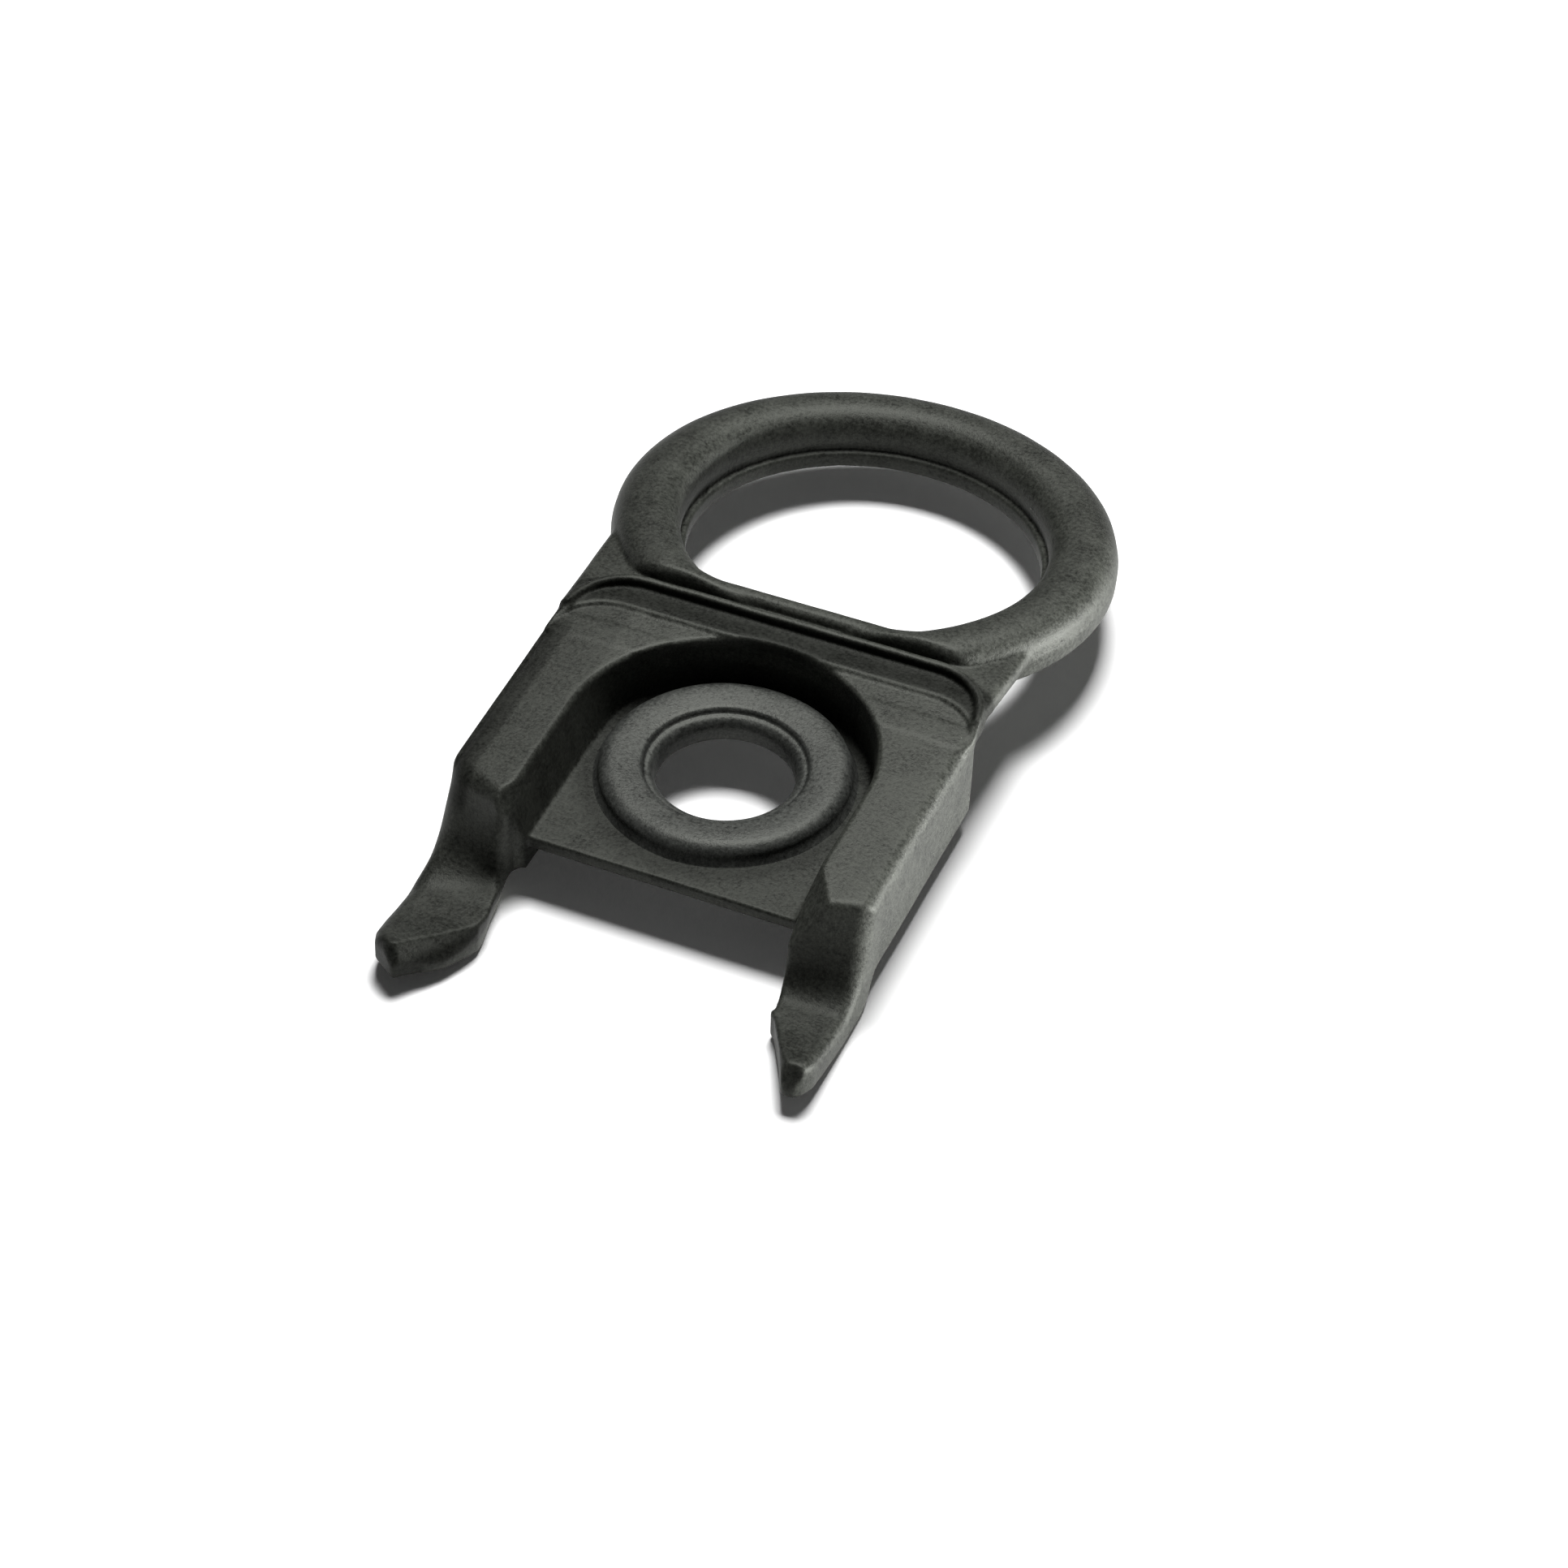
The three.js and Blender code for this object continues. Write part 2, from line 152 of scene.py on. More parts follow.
# Plan outline of a leg: Y and distance from the middle. The two legs have taken slightly different sets.
LEFT_INNER_LINE = (
    (-30.0, 18.5), (-26.2, 14.75), (-25.3, 14.0), (-24.6, 13.2), (-23.6, 12.4), (-21.8, 11.6),
    (-20.5, 11.2), (-19.6, 11.3), (-18.6, 11.5), (-17.0, 11.8),
    (-15.0, 12.0), (-14.0, 12.15), (-13.2, 12.0), (-12.2, 11.0), (-11.6, 10.4), (14.0, 10.4),
)
RIGHT_INNER_LINE = (
    (-30.0, 17.9), (-25.8, 15.4), (-23.4, 14.25), (-20.3, 12.6), (-19.75, 12.1), (-19.55, 12.0),
    (-19.1, 12.15), (-18.0, 12.0), (-15.0, 11.55), (14.0, 11.5),
)
LEFT_OUTER_LINE = (
    (-30.0, 10.1), (-26.9, 14.55), (-25.2, 16.9), (-24.2, 17.3), (-22.5, 17.45), (14.0, 17.45),
)
RIGHT_OUTER_LINE = (
    (-30.0, 12.7), (-26.4, 16.2), (-25.4, 17.0), (-24.4, 17.35), (-22.5, 17.4), (14.0, 17.45),
)
OUTLINE_GRID = (-31, 15, 0.05)   # first Y, last Y and step of the smoothed outlines
# Where each leg bends down: Y at the outer edge at deck level and at the foot of the bend,
# how far each moves forward towards the inner edge, and the roundings above and below.
LEFT_BEND = dict(knee=-11.2, foot=-15.4, knee_skew=0.53, foot_skew=-0.25, crest=1.2, hollow=2.4)
RIGHT_BEND = dict(knee=-13.0, foot=-15.9, knee_skew=0.37, foot_skew=0.08, crest=0.45, hollow=2.2)
BEND_DROP = 6.6                  # height of the steep bend
LEFT_SIDE_OUT = 0.6              # the left rail is wider than the right one
LEFT_WAIST = 0.28                # and a little slimmer at its bend
RIGHT_SIDE_LEAN = 0.03
RIGHT_LEG_OUT = 0.05
LEG_DRAFT = 0.3                  # the legs' inner sides slope, up to the limit
LEG_DRAFT_LIMIT = 0.65
LEG_EDGE_LESS = 0.4              # the outer edges' rounding shrinks by this towards the tips
INNER_EDGE = 0.3                 # rounding of the legs' inner edges
LEFT_INNER_EDGE_MORE = 0.8       # how much larger it is beside the left bend
BOTTOM_SKEW = 0.15               # the bottom line lies this much further forward per millimetre inwards

# Each tip is bevelled along its ramp and across its end. These are three points on each plane, as distance
# from the middle, Y and height, before the shifts below.
TIP_RAMP = ((11.6, -20.5, 1.3), (14.9, -25.0, 2.2), (13.0, -24.85, 0.0))
TIP_END = ((15.0, -25.25, 2.25), (17.0, -25.15, 2.25), (15.5, -26.1, 0.7))
TIP_END_Y = -26.1
TIP_START_Y = -20.6
TIP_SLOPE = 0.87                 # makes distances true beside the tip's slanted inner edge
RIGHT_RAMP_OUT = 0.5
LEFT_TIP_FORWARD = 0.7

UNEVENNESS = ((0.025, 3.1, 11), (0.012, 0.9, 4))  # depth, length of the waves and seed
BEAD_UNEVENNESS = (0.05, 1.3, 5)
WAVES = 4
FULL_TURN = 6.28                 # in radians


# ---------------------------------------------------------------- distance fields
def fine_line(points, width=0.9):
    """A smooth curve through an outline's points, as a function of Y."""
    step = OUTLINE_GRID[2]
    grid = np.arange(*OUTLINE_GRID)
    values = np.interp(grid, [p[0] for p in points], [p[1] for p in points])
    half = int(width / (2 * step))
    kernel = np.hanning(2 * half + 3)[1:-1]
    padded = np.pad(values, half, mode="edge")
    values = np.convolve(padded, kernel / kernel.sum(), mode="valid")
    return lambda y: np.interp(y, grid, values).astype(np.float32)


def both(a, b, radius=0.0):
    """Where two shapes overlap, with a rounded edge between them."""
    if np.ndim(radius) == 0 and radius <= 0:
        return np.maximum(a, b)
    corner = np.hypot(np.maximum(a + radius, 0), np.maximum(b + radius, 0))
    return np.minimum(np.maximum(a, b), -radius) + corner


def either(a, b, radius=0.0):
    """Two shapes joined, with a hollow fillet between them."""
    return -both(-a, -b, radius)


def without(a, b, radius=0.0):
    """The first shape with the second cut away, with a rounded edge round the cut."""
    return both(a, -b, radius)


def between(value, low, high):
    """Distance outside the stretch from the low value to the high one."""
    return np.abs(value - (low + high) / 2) - (high - low) / 2


def smooth_step(value, low, high):
    """0 below the low value, 1 above the high one."""
    t = np.clip((value - low) / (high - low), 0, 1)
    return t * t * (3 - 2 * t)


def smooth_drop(value, low, high):
    """1 below the low value, 0 above the high one."""
    return smooth_step(-value, -high, -low)


def rounded_plan(x, y, half_width, front, rear, corner):
    """Distance outside an upright box with rounded corners."""
    qx = np.abs(x) - (half_width - corner)
    qy = np.abs(y - (front + rear) / 2) - ((rear - front) / 2 - corner)
    outside = np.hypot(np.maximum(qx, 0), np.maximum(qy, 0))
    return outside + np.minimum(np.maximum(qx, qy), 0) - corner


def ledge_line(x, y):
    """Distance behind the line where the deck steps up to the ledge."""
    return rounded_plan(x, y, LEDGE_HALF_WIDTH, OPEN_FRONT, LEDGE_LINE_Y, LEDGE_CORNER)


def bead_line(x, y):
    """Distance outside the middle line of the rim bead."""
    return rounded_plan(x, y, BEAD_HALF_WIDTH, OPEN_FRONT, BEAD_Y, BEAD_CORNER)


def loop_axes(x, y, z):
    """Radius, the way towards the far side, and height, in the tilted frame of the loop."""
    dy, dz = y - LOOP_CENTRE[1], z - LOOP_CENTRE[2]
    along = dy * np.cos(LOOP_TILT) + dz * np.sin(LOOP_TILT)
    height = -dy * np.sin(LOOP_TILT) + dz * np.cos(LOOP_TILT)
    return np.hypot(x, along), along, height


def pocket_plan(x, y, z):
    """Distance outside the pocket's wall, which leans at the sides and stands upright at the rear."""
    lean = np.clip(POCKET_LEAN * (z - FLOOR_TOP), 0, POCKET_LEAN_LIMIT)
    radius = POCKET_RADIUS + lean + (POCKET_REAR_EXTRA - lean) * smooth_step(y, *POCKET_REAR_BLEND_Y)
    rear = np.hypot(x, y - POCKET_CENTRE_Y) - radius
    return np.where(y > POCKET_CENTRE_Y, rear, np.abs(x) - radius).astype(np.float32)


def wobble(x, y, z, scale, seed):
    """Slow, repeatable unevenness between -1 and 1."""
    rng = np.random.default_rng(seed)
    total = 0
    for _ in range(WAVES):
        k = rng.normal(size=3) / scale
        total = total + np.sin(k[0] * x + k[1] * y + k[2] * z + rng.uniform(0, FULL_TURN))
    return total / WAVES


def deck_height(x, y):
    """Top of the plate: gently crowned rails, a small step up to the ledge, a dip before the bead."""
    crown = CROWN_DROP * (np.maximum(np.abs(x) - CROWN_START_X, 0) / CROWN_WIDTH) ** 2
    height = DECK_TOP - crown * smooth_drop(y, *CROWN_FADE_Y)
    line = ledge_line(x, y)
    dip = LEDGE_DIP * smooth_step(line, *LEDGE_DIP_SPAN)
    return height + LEDGE_STEP * smooth_step(line, *LEDGE_STEP_SPAN) - dip


def leg_top(y, z, reach, bend):
    """Above the rail, down the steep bend, and above the free length of one leg."""
    knee = bend["knee"] - bend["knee_skew"] * reach
    foot = bend["foot"] - bend["foot_skew"] * reach
    face = knee + (foot - knee) * (DECK_TOP - z) / BEND_DROP
    steepness = 1 / np.sqrt(1 + ((knee - foot) / BEND_DROP) ** 2)
    rail = both(z - deck_height(HALF_WIDTH - reach, y), (face - y) * steepness, bend["crest"])
    line = fine_line(LEG_TOP_LINE)(y)
    return either(rail, z - line, bend["hollow"])


def outer_side(x, y, z):
    """Distance outside the outer sides of the rails and legs."""
    on_leg = smooth_drop(y, -15.0, -11.0)
    waist = smooth_drop(y, -11.5, -9.5) * smooth_step(y, -17.5, -14.5)
    right = -RIGHT_SIDE_LEAN * (DECK_TOP - z) * (1 - on_leg) + RIGHT_LEG_OUT * on_leg
    spread = np.where(x < 0, LEFT_SIDE_OUT - LEFT_WAIST * waist, right)
    outline = np.where(x < 0, fine_line(LEFT_OUTER_LINE, 0.5)(y), fine_line(RIGHT_OUTER_LINE, 0.8)(y))
    return np.abs(x) - spread - outline


def inner_side(x, y, z):
    """Distance inside the legs' inner sides, towards the gap between them."""
    draft = np.clip(LEG_DRAFT * (z + 1.2), 0, LEG_DRAFT_LIMIT)
    draft = draft * smooth_step(y, -20.2, -18.5) * smooth_drop(y, -12.5, -10.5)
    left = fine_line(LEFT_INNER_LINE, 0.4)(y) - 0.5 * draft
    inner = np.where(x < 0, left, fine_line(RIGHT_INNER_LINE, 0.2)(y)) - np.abs(x)
    inner = inner * np.where(y < TIP_START_Y, TIP_SLOPE, 1.0)
    return np.where(y < FLOOR_FRONT_Y, inner, WELL_INSIDE)


def rails_and_legs(x, y, z):
    """The deep rails beside the pocket, with the legs that they run on into."""
    across = np.abs(x)
    reach = HALF_WIDTH - across
    above = np.where(x < 0, leg_top(y, z, reach, LEFT_BEND), leg_top(y, z, reach, RIGHT_BEND))
    below = fine_line(BOTTOM_LINE, 0.6)(y + BOTTOM_SKEW * reach) - z
    outer_edge = np.where(x < 0, BLOCK_EDGE_LEFT, BLOCK_EDGE_RIGHT)
    outer_edge = outer_edge - LEG_EDGE_LESS * smooth_drop(y, -21.0, -16.0)
    body = both(above, outer_side(x, y, z), outer_edge)
    body = both(body, below, 0.35)
    inner_edge = INNER_EDGE + LEFT_INNER_EDGE_MORE * smooth_drop(x, -1, 0) * smooth_step(y, -16.5, -14.5)
    body = both(body, inner_side(x, y, z), inner_edge)
    body = both(body, tip_bevels(x, y, z), 0.15)
    body = both(body, TIP_END_Y - y - np.where(x < 0, LEFT_TIP_FORWARD, 0.0), 0.25)
    rear = y - BLOCK_REAR_Y
    corner = (across - HALF_WIDTH + rear) / np.sqrt(2) + BLOCK_CORNER_CUT
    return both(both(body, rear, 0.25), corner, 0.15)


def above_plane(across, y, z, plane):
    """Distance above a plane that is given by three points."""
    a, b, c = (np.array(point) for point in plane)
    normal = np.cross(b - a, c - a)
    normal *= np.sign(normal[2]) / np.linalg.norm(normal)
    return (across - a[0]) * normal[0] + (y - a[1]) * normal[1] + (z - a[2]) * normal[2]


def tip_bevels(x, y, z):
    """Distance outside both bevels of the tips."""
    across = np.abs(x)
    ramp = above_plane(across - np.where(x < 0, 0.0, RIGHT_RAMP_OUT), y, z, TIP_RAMP)
    end = above_plane(across, np.where(x < 0, y + LEFT_TIP_FORWARD, y), z, TIP_END)
    return both(ramp, end, 0.3)


def neck(x, y, height):
    """The thin web behind the bead, which tilts with the loop."""
    extra = np.where(x < 0, WEB_EXTRA_LEFT, WEB_EXTRA_RIGHT)
    half = HALF_WIDTH + extra + WEB_FLARE * np.clip(y - WEB_FLARE_START_Y, 0, 10)
    web = both(np.abs(height - WEB_MIDDLE) - WEB_HALF_THICKNESS, np.abs(x) - half, 0.78)
    ahead = -0.1 - bead_line(x, y)
    eye = both(np.hypot(x, y - LOOP_CENTRE[1]) - EYE_RADIUS, LOOP_CENTRE[1] + BAR_BACK - 0.4 - y)
    return both(both(both(web, between(y, WEB_FRONT_Y, WEB_REAR_Y)), ahead), -eye)


def deck_rear(x, y, z, height):
    """The thin plate behind the side blocks, up to the bead."""
    top = z - deck_height(x, y)
    under = np.maximum(WEB_MIDDLE - WEB_HALF_THICKNESS - height, DECK_BOTTOM - z)
    plan = rounded_plan(
        x + THIN_DECK_LEFT, y, HALF_WIDTH + THIN_DECK_LEFT, OPEN_FRONT, BEAD_Y + 0.1, BEAD_CORNER)
    return both(both(both(top, plan, 0.5), under, 0.3), THIN_DECK_FRONT_Y - y)


def bead(x, y, z):
    """The thin raised line along the rear edge of the deck."""
    depth, scale, seed = BEAD_UNEVENNESS
    uneven = depth * wobble(x, y, 0, scale, seed)
    sinking = BEAD_SLOPE * np.clip(BEAD_SLOPE_START_Y - y, 0, 9)
    top = BEAD_TOP - sinking - BEAD_RUN_OUT * smooth_drop(y, *BEAD_RUN_OUT_Y) + uneven
    ridge = both(np.abs(bead_line(x, y)) - BEAD_HALF_THICKNESS, z - top, 0.32)
    return both(both(ridge, BEAD_BOTTOM - z), BEAD_END_Y - y)


def loop(x, y, z):
    """The D-shaped loop: a round ring with a stepped inner wall, cut off by a straight bar."""
    radius, along, height = loop_axes(x, y, z)
    stretch = LOOP_STRETCH * (x / LOOP_RADIUS) ** 2
    a = (radius - LOOP_MIDDLE) / (LOOP_HALF_WIDTH + stretch)
    b = height / LOOP_HALF_HEIGHT
    norm = (np.abs(a) ** SECTION_POWER + np.abs(b) ** SECTION_POWER) ** (1 / SECTION_POWER)
    section = (norm - 1) * (LOOP_HALF_WIDTH + LOOP_HALF_HEIGHT) / 2
    inner_wall = between(radius, INNER_WALL_RADIUS, LOOP_MIDDLE)
    inner_wall = both(inner_wall, between(height, *INNER_WALL_HEIGHTS), 0.12)
    inner_foot = between(radius, INNER_FOOT_RADIUS - 2 * stretch, LOOP_MIDDLE)
    inner_foot = both(inner_foot, between(height, *INNER_FOOT_HEIGHTS), 0.28)
    outer_foot = between(radius, LOOP_MIDDLE, OUTER_FOOT_RADIUS + stretch)
    outer_foot = both(outer_foot, between(height, *OUTER_FOOT_HEIGHTS), 0.5)
    section = either(either(either(section, inner_wall, 0.1), inner_foot, 0.12), outer_foot, 0.12)
    ring = both(section, BAR_FRONT - along, 0.5)
    bar = both(between(along, BAR_FRONT, BAR_BACK), between(height, BAR_BOTTOM, BAR_TOP), 0.7)
    bar = both(bar, radius - BAR_END_RADIUS, 0.5)
    return either(ring, bar, 0.6)


def rear_wall(y, z, plan):
    """The curved wall behind the pocket."""
    wall = both(between(plan, 0, REAR_WALL_THICKNESS), between(z, FLOOR_BOTTOM, REAR_WALL_TOP), 0.3)
    return both(wall, REAR_WALL_FRONT_Y - y)


def pocket_floor(x, y, z, plan):
    """The thin web across the pocket, open at the front and under the boss."""
    front = FLOOR_FRONT_Y - FLOOR_FRONT_SKEW * (x + POCKET_RADIUS) - y
    floor = both(both(plan - 0.4, front), between(z, FLOOR_BOTTOM, FLOOR_TOP), 0.2)
    return without(floor, np.hypot(x, y) - FLOOR_HOLE_RADIUS)


def moulding(x, y, z):
    """Signed distance of the whole moulding without the screw boss, negative inside."""
    _, _, height = loop_axes(x, y, z)
    plan = pocket_plan(x, y, z)
    body = either(rails_and_legs(x, y, z), deck_rear(x, y, z, height), 0.25)
    body = either(body, rear_wall(y, z, plan), 0.3)
    body = without(body, both(plan, POCKET_OPEN_Y - y), 0.4)
    body = either(body, bead(x, y, z), 0.25)
    body = either(body, neck(x, y, height), 0.15)
    body = either(body, loop(x, y, z), 0.15)
    body = either(body, pocket_floor(x, y, z, plan), 0.3)
    for depth, scale, seed in UNEVENNESS:
        body = body + depth * wobble(x, y, z, scale, seed)
    return body


# How strongly painted shade darkens each patch, where 1 is the most.
SHADE_BEVEL, SHADE_LEFT_RAIL, SHADE_LEG, SHADE_FAR_RING = 0.9, 0.35, 0.5, 0.8
SHADE_FLOOR, SHADOW_BY_BOSS = 0.5, 0.4  # painted shade on the pocket floor; the second is added to the first close to the boss, as its painted shadow


def painted_shade(x, y, z):
    """How far painted shade darkens the colour, from 0 to 1: on the ledge, the left rail and its outer
    shoulder, the left tip's bevels and end, the legs, the loop's far outer slope and the pocket floor, with a
    painted shadow round the boss. The numbers are the soft borders of each patch.
    """
    across, line = np.abs(x), ledge_line(x, y)
    ledge = smooth_step(line, 0.1, 0.5) * smooth_drop(line, 2.6, 3.2) * smooth_step(z, 7.2, 7.5)
    left_shoulder = smooth_drop(x, -16.0, -15.3) * smooth_step(z, 4.5, 6.0) * smooth_drop(y, 6.0, 8.0)
    bevels = smooth_drop(np.abs(tip_bevels(x, y, z)), 0.08, 0.2) * (y < -20.0) + smooth_drop(y, -25.2, -24.6)
    left_bevels = np.minimum(bevels, SHADE_BEVEL) * smooth_drop(x, -2.0, -1.0)
    round_boss = SHADE_FLOOR + SHADOW_BY_BOSS * smooth_drop(np.hypot(x, y), 10.6, 12.4)
    in_pocket = smooth_drop(z, 3.6, 3.9) * smooth_step(y, -12.6, -12.4) * smooth_drop(across, 11.5, 12.0)
    left_rail = SHADE_LEFT_RAIL * smooth_drop(x, -12.2, -11.6) * smooth_step(z, 7.0, 7.6)
    legs = SHADE_LEG * smooth_drop(y, -16.5, -14.5)
    radius, along, height = loop_axes(x, y, z)
    outer_slope = smooth_step(radius, 17.8, 18.8) * smooth_step(height, -0.5, 0.5)
    far_ring = SHADE_FAR_RING * outer_slope * smooth_step(along, 3.0, 9.0)
    patches = (ledge, left_shoulder, left_bevels, round_boss * in_pocket, left_rail, legs, far_ring)
    return np.maximum.reduce(patches)


# ---------------------------------------------------------------- meshes
def moulding_mesh():
    """Points in millimetres, faces, and per point how convex the surface is and how far painted shade darkens
    it.
    """
    axes = [np.arange(lo, hi, CELL, dtype=np.float32) for lo, hi in zip(GRID_LOW, GRID_HIGH)]
    x, y, z = axes[0][:, None, None], axes[1][None, :, None], axes[2][None, None, :]
    field = np.broadcast_to(moulding(x, y, z), [len(a) for a in axes]).astype(np.float32)
    grid = openvdb.FloatGrid(10.0)
    grid.copyFromArray(np.ascontiguousarray(field))
    points, quads = grid.convertToQuads()
    soft = field
    for axis in range(3):
        soft = sum(np.roll(soft, s, axis) for s in (-2, -1, 0, 1, 2)) / 5
    at = tuple(np.clip(np.rint(points).astype(int), 0, np.array(field.shape) - 1).T)
    convex = (soft - field)[at]
    points = points * CELL + np.array(GRID_LOW)
    return points, quads[:, ::-1], {"convex": convex, "painted_shade": painted_shade(*points.T)}


FLASH_HEIGHT = 0.08              # above the loop's middle plane
FLASH_ROOT = 0.3                 # depth in the wall for each unit of the section below 0
# Section of a fin: how far out, as a share of its reach, and height above its middle.
FLASH_SECTION = ((-0.3, 0.09), (0.0, 0.075), (1.0, 0.03), (1.0, -0.03), (0.0, -0.075), (-0.3, -0.09))
FLASH_STEPS = 420
FLASH_FADE_STEPS = 12            # the fin shrinks to nothing over this many steps at each end
RAGGED_WAVES = (7, 17, 41, 83)
RAGGED_NOISE = 0.5
RAGGED_MEAN, RAGGED_SWING = 0.62, 0.55
RAGGED_LEAST, RAGGED_MOST = 0.12, 1.3


def flash_mesh(reach, seed, start, stop):
    """A thin ragged fin of moulding flash on the loop's inner wall, between two angles in degrees."""
    rng = np.random.default_rng(seed)
    steps = FLASH_STEPS
    angles = np.linspace(np.radians(start), np.radians(stop), steps)
    ragged = sum(np.sin(angles * k + rng.uniform(0, FULL_TURN)) for k in RAGGED_WAVES) / len(RAGGED_WAVES)
    ragged = np.convolve(ragged + RAGGED_NOISE * rng.normal(size=steps), np.ones(3) / 3, mode="same")
    ends = np.clip(np.minimum(np.arange(steps), np.arange(steps)[::-1]) / FLASH_FADE_STEPS, 0, 1)
    fin = reach * np.clip(RAGGED_MEAN + RAGGED_SWING * ragged, RAGGED_LEAST, RAGGED_MOST) * ends
    points = []
    for angle, length in zip(angles, fin):
        for out, up in FLASH_SECTION:
            r = INNER_WALL_RADIUS + np.sign(reach) * FLASH_ROOT * min(out, 0) + length * max(out, 0)
            across, along, height = r * np.cos(angle), r * np.sin(angle), FLASH_HEIGHT + up
            points.append((
                across, LOOP_CENTRE[1] + along * np.cos(LOOP_TILT) - height * np.sin(LOOP_TILT),
                LOOP_CENTRE[2] + along * np.sin(LOOP_TILT) + height * np.cos(LOOP_TILT)))
    count = len(FLASH_SECTION)
    faces = [
        (i * count + j, i * count + (j + 1) % count, (i + 1) * count + (j + 1) % count, (i + 1) * count + j)
        for i in range(steps - 1) for j in range(count)]
    faces += [tuple(range(count))[::-1], tuple(range((steps - 1) * count, steps * count))]
    return points, faces


def mesh_object(name, points, faces, layers=None):
    """A smooth-shaded object, with values per point in named layers."""
    mesh = bpy.data.meshes.new(name)
    mesh.from_pydata((np.asarray(points) * MM).tolist(), [], [tuple(face) for face in faces])
    for key, values in (layers or {}).items():
        layer = mesh.attributes.new(key, "FLOAT", "POINT")
        layer.data.foreach_set("value", np.asarray(values, np.float32))
    mesh.shade_smooth()
    obj = bpy.data.objects.new(name, mesh)
    bpy.context.scene.collection.objects.link(obj)
    return obj


def cut_copy(source, name, planes):
    """A closed piece of the source: planes are (point, normal) pairs and the normal side goes."""
    mesh = source.data.copy()
    work = bmesh.new()
    work.from_mesh(mesh)
    for point, normal in planes:
        cut = bmesh.ops.bisect_plane(
            work, geom=work.verts[:] + work.edges[:] + work.faces[:], dist=1e-7,
            plane_co=Vector(point) * MM, plane_no=normal, clear_outer=True)
        rim = [e for e in cut["geom_cut"] if isinstance(e, bmesh.types.BMEdge)]
        bmesh.ops.holes_fill(work, edges=rim, sides=0)
        for edge in rim:
            edge.smooth = False
    work.to_mesh(mesh)
    work.free()
    obj = bpy.data.objects.new(name, mesh)
    mesh.name = name
    bpy.context.scene.collection.objects.link(obj)
    return obj


# Radius and height round the boss's section: out under it, up to the shoulder's arc and over it,
# across the top, down to the lip's arc, and down into the hole.
BOSS_FOOT = ((6.6, 2.33), (10.1, 2.33), (10.3, 2.5), (10.3, 3.2), (10.2, 3.45), (10.0, 3.62), (9.85, 3.9))
BOSS_SHOULDER = dict(centre=(8.6, 4.1), radii=(1.15, 0.92))
BOSS_TOP = (
    (8.2, 5.04), (7.6, 5.0), (7.1, 4.95), (6.6, 4.88), (6.42, 4.8), (6.34, 4.6), (6.27, 4.46), (6.15, 4.43),
)
BOSS_LIP = dict(centre=(6.1, 3.45), radii=(-0.75, 0.98))
BOSS_BORE = ((5.36, 3.1), (5.35, 2.7), (5.45, 2.5))
BOSS_STEPS = 192
BOSS_SPACING = 0.25              # longest stretch between points of the section


def arc(shape, degrees):
    """Points along an ellipse's quarter."""
    (centre_r, centre_z), (radius_r, radius_z) = shape["centre"], shape["radii"]
    return [(centre_r + radius_r * np.cos(a), centre_z + radius_z * np.sin(a)) for a in np.radians(degrees)]


def boss_profile():
    """The boss's section with points close together."""
    points = np.array([
        *BOSS_FOOT, *arc(BOSS_SHOULDER, np.arange(0, 90, 8)), *BOSS_TOP,
        *arc(BOSS_LIP, np.arange(84, -11, -9)), *BOSS_BORE])
    fine = []
    for a, b in zip(points, np.roll(points, -1, axis=0)):
        parts = max(1, int(np.linalg.norm(b - a) / BOSS_SPACING))
        fine += [a + (b - a) * i / parts for i in range(parts)]
    return np.array(fine)


def boss_mesh():
    """The boss's section turned round the hole's axis, slightly unevenly."""
    profile, steps = boss_profile(), BOSS_STEPS
    count = len(profile)
    angles = np.arange(steps) * 2 * np.pi / steps
    uneven = 1 + 0.0016 * np.sin(3 * angles + 0.4) + 0.001 * np.sin(7 * angles)
    points = np.array([
        (r * u * np.cos(t), r * u * np.sin(t), h + 0.01 * np.sin(5 * t + r))
        for t, u in zip(angles, uneven) for r, h in profile])
    faces = [
        (i * count + j, ((i + 1) % steps) * count + j,
         ((i + 1) % steps) * count + (j + 1) % count, i * count + (j + 1) % count)
        for i in range(steps) for j in range(count)]
    after, before = np.roll(profile, -1, axis=0), np.roll(profile, 1, axis=0)
    turn, out = after - 2 * profile + before, after - before
    convex = (turn[:, 0] * -out[:, 1] + turn[:, 1] * out[:, 0]) / (np.linalg.norm(out, axis=1) + 1e-6)
    return points, faces, {"convex": np.tile(convex * 0.5, steps)}


# ---------------------------------------------------------------- materials
RUBBER = (0.017, 0.0182, 0.0152)
BOSS_RUBBER = (0.023, 0.0242, 0.0225)
FLASH_RUBBER = (0.05, 0.051, 0.047)
RUBBER_ROUGHNESS, BOSS_ROUGHNESS, FLASH_ROUGHNESS = 0.56, 0.53, 0.45
SPECULAR = 0.32                  # reflection of the plain surface; the tone varies it
SPECULAR_TINT = (0.97, 1.0, 0.91, 1)
BOSS_SHINE = 1.1                 # the boss reflects this much more
GRAIN_SCALE, PORE_SCALE, MOTTLE_SCALE = 3200, 7500, 420  # waves to a metre, roughly
NOISE_LOW, NOISE_HIGH = 0.3, 0.7  # where most of a noise texture's values lie
GRAIN_TONE, PORE_TONE, MOTTLE_TONE = 0.45, 0.12, 0.2
GRAIN_ROUGHNESS, MOTTLE_ROUGHNESS = 0.09, 0.05
# the second is painted shade that darkens the hollows
WORN_TONE, HOLLOW_SHADE_TONE = 0.15, -0.25
PAINTED_SHADE_TONE = 0.45                # tone where the painted shade is fullest, beside 1 elsewhere
BUMP_STRENGTH, BUMP_DISTANCE = 0.55, 0.00006


